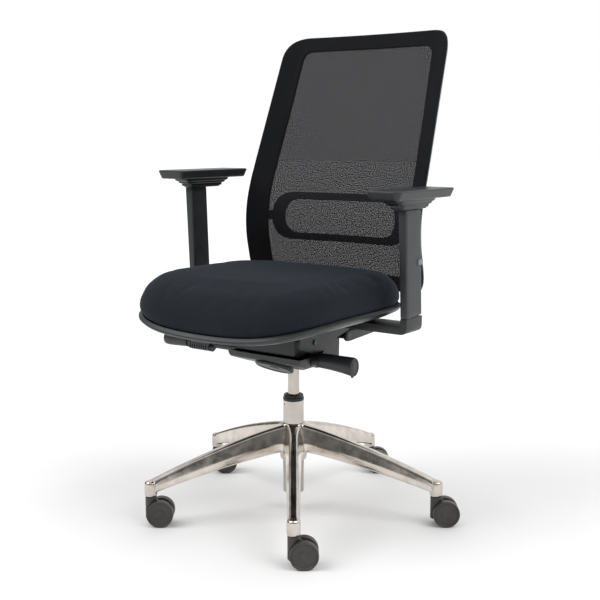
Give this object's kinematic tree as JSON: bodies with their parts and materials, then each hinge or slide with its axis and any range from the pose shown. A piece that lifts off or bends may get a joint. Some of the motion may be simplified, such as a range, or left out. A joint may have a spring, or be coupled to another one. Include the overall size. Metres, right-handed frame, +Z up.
{
  "type": "swivel office chair",
  "caption": "Swivel office chair with a fabric seat, mesh back with lumbar ring, height-adjustable arms, tilt mechanism, gas lift and a polished star base on casters.",
  "frame": {"origin": "on the floor, under the middle of the chair's outer box", "axes": "+Z up; the sitter faces -Y; +X is to the sitter's left"},
  "size_m": [0.7348, 0.7308, 1.144],
  "materials": {
    "polished_aluminium": "polished die-cast aluminium",
    "chrome_tube": "bright chrome-plated steel tube",
    "zinc_steel": "zinc-plated steel",
    "spring_steel": "dark oiled spring steel",
    "caster_nylon": "satin moulded nylon",
    "black_nylon": "fine-grained glass-filled nylon",
    "black_plastic": "smooth satin plastic",
    "charcoal_plastic": "fine-grained satin plastic",
    "button_plastic": "satin grey plastic",
    "pad_polyurethane": "soft satin polyurethane skin",
    "seat_fabric": "fine woven wool-look upholstery over foam",
    "border_textile": "black textile over a moulded frame",
    "back_net": "fine dark grey net",
    "lumbar_plastic": "matt black plastic"
  },
  "bodies": {
    "base": {"base_star": "polished_aluminium", "column_tube": "chrome_tube", "guide_collar": "black_plastic", "piston_rod": "zinc_steel"},
    "lift": {"gas_cylinder": "chrome_tube"},
    "mechanism": {"mech_cover": "charcoal_plastic", "mech_housing": "charcoal_plastic", "tilt_shaft": "zinc_steel", "front_pin": "zinc_steel", "tension_spring": "spring_steel"},
    "tension_knob": {"tension_knob": "charcoal_plastic"},
    "tilt_control": {"tilt_stem": "black_plastic", "tilt_grip": "charcoal_plastic"},
    "depth_control": {"depth_stem": "charcoal_plastic", "depth_paddle": "charcoal_plastic"},
    "height_control": {"height_stem": "black_plastic", "height_grip": "charcoal_plastic"},
    "seat_frame": {"seat_bracket": "black_nylon", "arm_bracket_left": "black_nylon", "arm_bracket_right": "black_nylon"},
    "seat": {"seat_shell": "charcoal_plastic", "seat_cushion": "seat_fabric"},
    "back": {"back_carrier": "black_nylon", "back_frame": "border_textile", "back_mesh": "back_net"},
    "lumbar": {"lumbar_ring": "lumbar_plastic"},
    "arm_left": {"arm_sleeve_left": "charcoal_plastic"},
    "button_left": {"arm_button_left": "button_plastic"},
    "pad_carrier_left": {"pad_carrier_left": "black_plastic"},
    "pad_left": {"arm_pad_left": "pad_polyurethane"},
    "arm_right": {"arm_sleeve_right": "charcoal_plastic"},
    "button_right": {"arm_button_right": "button_plastic"},
    "pad_carrier_right": {"pad_carrier_right": "black_plastic"},
    "pad_right": {"arm_pad_right": "pad_polyurethane"},
    "caster_1": {"caster_1_stem": "zinc_steel", "caster_1_hood": "caster_nylon", "caster_1_axle": "zinc_steel"},
    "wheel_1a": {"caster_1_wheel_a": "caster_nylon"},
    "wheel_1b": {"caster_1_wheel_b": "caster_nylon"},
    "caster_2": {"caster_2_stem": "zinc_steel", "caster_2_hood": "caster_nylon", "caster_2_axle": "zinc_steel"},
    "wheel_2a": {"caster_2_wheel_a": "caster_nylon"},
    "wheel_2b": {"caster_2_wheel_b": "caster_nylon"},
    "caster_3": {"caster_3_stem": "zinc_steel", "caster_3_hood": "caster_nylon", "caster_3_axle": "zinc_steel"},
    "wheel_3a": {"caster_3_wheel_a": "caster_nylon"},
    "wheel_3b": {"caster_3_wheel_b": "caster_nylon"},
    "caster_4": {"caster_4_stem": "zinc_steel", "caster_4_hood": "caster_nylon", "caster_4_axle": "zinc_steel"},
    "wheel_4a": {"caster_4_wheel_a": "caster_nylon"},
    "wheel_4b": {"caster_4_wheel_b": "caster_nylon"},
    "caster_5": {"caster_5_stem": "zinc_steel", "caster_5_hood": "caster_nylon", "caster_5_axle": "zinc_steel"},
    "wheel_5a": {"caster_5_wheel_a": "caster_nylon"},
    "wheel_5b": {"caster_5_wheel_b": "caster_nylon"}
  },
  "joints": [
    {"name": "lift", "type": "slide", "parent": "base", "child": "lift", "axis": [0, 0, 1], "range_m": [-0.045, 0.075]},
    {"name": "seat_swivel", "type": "hinge", "parent": "lift", "child": "mechanism", "pos_m": [-0.0178, -0.03129, 0.4], "axis": [0, 0, 1], "continuous": true},
    {"name": "back_recline", "type": "hinge", "parent": "mechanism", "child": "back", "pos_m": [-0.0178, 0.02371, 0.43], "axis": [-1, 0, 0], "range_deg": [0, 22], "stiffness_Nm_per_rad": 60, "springref_deg": -20.05},
    {"name": "seat_tilt", "type": "hinge", "parent": "mechanism", "child": "seat_frame", "pos_m": [-0.0178, -0.12729, 0.44], "axis": [-1, 0, 0], "range_deg": [0, 8.8]},
    {"name": "seat_depth", "type": "slide", "parent": "seat_frame", "child": "seat", "axis": [0, -1, 0], "range_m": [-0.01, 0.04]},
    {"name": "lumbar_height", "type": "hinge", "parent": "back", "child": "lumbar", "pos_m": [-0.0178, 0.41572, 0.675], "axis": [1, 0, 0], "range_deg": [-4, 4]},
    {"name": "tilt_control_turn", "type": "hinge", "parent": "mechanism", "child": "tilt_control", "pos_m": [0.1322, -0.09129, 0.392], "axis": [1, 0, 0], "range_deg": [0, 45]},
    {"name": "depth_control_turn", "type": "hinge", "parent": "mechanism", "child": "depth_control", "pos_m": [-0.2478, -0.09129, 0.392], "axis": [-1, 0, 0], "range_deg": [0, 20], "stiffness_Nm_per_rad": 0.8, "springref_deg": -11.46},
    {"name": "height_control_turn", "type": "hinge", "parent": "mechanism", "child": "height_control", "pos_m": [-0.3178, -0.09129, 0.392], "axis": [-1, 0, 0], "range_deg": [0, 25], "stiffness_Nm_per_rad": 0.8, "springref_deg": -11.46},
    {"name": "tension_knob_turn", "type": "hinge", "parent": "mechanism", "child": "tension_knob", "pos_m": [-0.0178, -0.10229, 0.374], "axis": [0, -0.4239, -0.9057], "continuous": true},
    {"name": "arm_height_left", "type": "slide", "parent": "seat_frame", "child": "arm_left", "axis": [0, -0.0523, 0.9986], "range_m": [0, 0.1]},
    {"name": "arm_button_left", "type": "slide", "parent": "arm_left", "child": "button_left", "axis": [-1, 0, 0], "range_m": [0, 0.0018], "stiffness_N_per_m": 500, "springref_m": -0.002},
    {"name": "pad_turn_left", "type": "hinge", "parent": "arm_left", "child": "pad_carrier_left", "pos_m": [0.2842, -0.00628, 0.735], "axis": [0, 0, 1], "range_deg": [-15, 15]},
    {"name": "pad_slide_left", "type": "slide", "parent": "pad_carrier_left", "child": "pad_left", "axis": [0, -1, 0], "range_m": [0, 0.05]},
    {"name": "arm_height_right", "type": "slide", "parent": "seat_frame", "child": "arm_right", "axis": [0, -0.0523, 0.9986], "range_m": [-0.032, 0.068]},
    {"name": "arm_button_right", "type": "slide", "parent": "arm_right", "child": "button_right", "axis": [1, 0, 0], "range_m": [0, 0.0018], "stiffness_N_per_m": 500, "springref_m": -0.002},
    {"name": "pad_turn_right", "type": "hinge", "parent": "arm_right", "child": "pad_carrier_right", "pos_m": [-0.3198, -0.00628, 0.767], "axis": [0, 0, 1], "range_deg": [-15, 15]},
    {"name": "pad_slide_right", "type": "slide", "parent": "pad_carrier_right", "child": "pad_right", "axis": [0, -1, 0], "range_m": [0, 0.05]},
    {"name": "caster_swivel_1", "type": "hinge", "parent": "base", "child": "caster_1", "pos_m": [0.18616, -0.31201, 0.07], "axis": [0, 0, 1], "continuous": true},
    {"name": "caster_swivel_2", "type": "hinge", "parent": "base", "child": "caster_2", "pos_m": [0.31222, 0.07594, 0.07], "axis": [0, 0, 1], "continuous": true},
    {"name": "caster_swivel_3", "type": "hinge", "parent": "base", "child": "caster_3", "pos_m": [-0.0178, 0.31572, 0.07], "axis": [0, 0, 1], "continuous": true},
    {"name": "caster_swivel_4", "type": "hinge", "parent": "base", "child": "caster_4", "pos_m": [-0.34781, 0.07594, 0.07], "axis": [0, 0, 1], "continuous": true},
    {"name": "caster_swivel_5", "type": "hinge", "parent": "base", "child": "caster_5", "pos_m": [-0.22176, -0.31201, 0.07], "axis": [0, 0, 1], "continuous": true},
    {"name": "wheel_spin_1a", "type": "hinge", "parent": "caster_1", "child": "wheel_1a", "pos_m": [0.20396, -0.29908, 0.031], "axis": [-0.5878, 0.809, 0], "continuous": true},
    {"name": "wheel_spin_1b", "type": "hinge", "parent": "caster_1", "child": "wheel_1b", "pos_m": [0.20396, -0.29908, 0.031], "axis": [-0.5878, 0.809, 0], "continuous": true},
    {"name": "wheel_spin_2a", "type": "hinge", "parent": "caster_2", "child": "wheel_2a", "pos_m": [0.33002, 0.08888, 0.031], "axis": [-0.5878, 0.809, 0], "continuous": true},
    {"name": "wheel_spin_2b", "type": "hinge", "parent": "caster_2", "child": "wheel_2b", "pos_m": [0.33002, 0.08888, 0.031], "axis": [-0.5878, 0.809, 0], "continuous": true},
    {"name": "wheel_spin_3a", "type": "hinge", "parent": "caster_3", "child": "wheel_3a", "pos_m": [0, 0.32865, 0.031], "axis": [-0.5878, 0.809, 0], "continuous": true},
    {"name": "wheel_spin_3b", "type": "hinge", "parent": "caster_3", "child": "wheel_3b", "pos_m": [0, 0.32865, 0.031], "axis": [-0.5878, 0.809, 0], "continuous": true},
    {"name": "wheel_spin_4a", "type": "hinge", "parent": "caster_4", "child": "wheel_4a", "pos_m": [-0.33002, 0.08888, 0.031], "axis": [-0.5878, 0.809, 0], "continuous": true},
    {"name": "wheel_spin_4b", "type": "hinge", "parent": "caster_4", "child": "wheel_4b", "pos_m": [-0.33002, 0.08888, 0.031], "axis": [-0.5878, 0.809, 0], "continuous": true},
    {"name": "wheel_spin_5a", "type": "hinge", "parent": "caster_5", "child": "wheel_5a", "pos_m": [-0.20396, -0.29908, 0.031], "axis": [-0.5878, 0.809, 0], "continuous": true},
    {"name": "wheel_spin_5b", "type": "hinge", "parent": "caster_5", "child": "wheel_5b", "pos_m": [-0.20396, -0.29908, 0.031], "axis": [-0.5878, 0.809, 0], "continuous": true}
  ],
  "couplings": [
    {"joint": "seat_tilt", "follows": "back_recline", "ratio": 0.4}
  ]
}
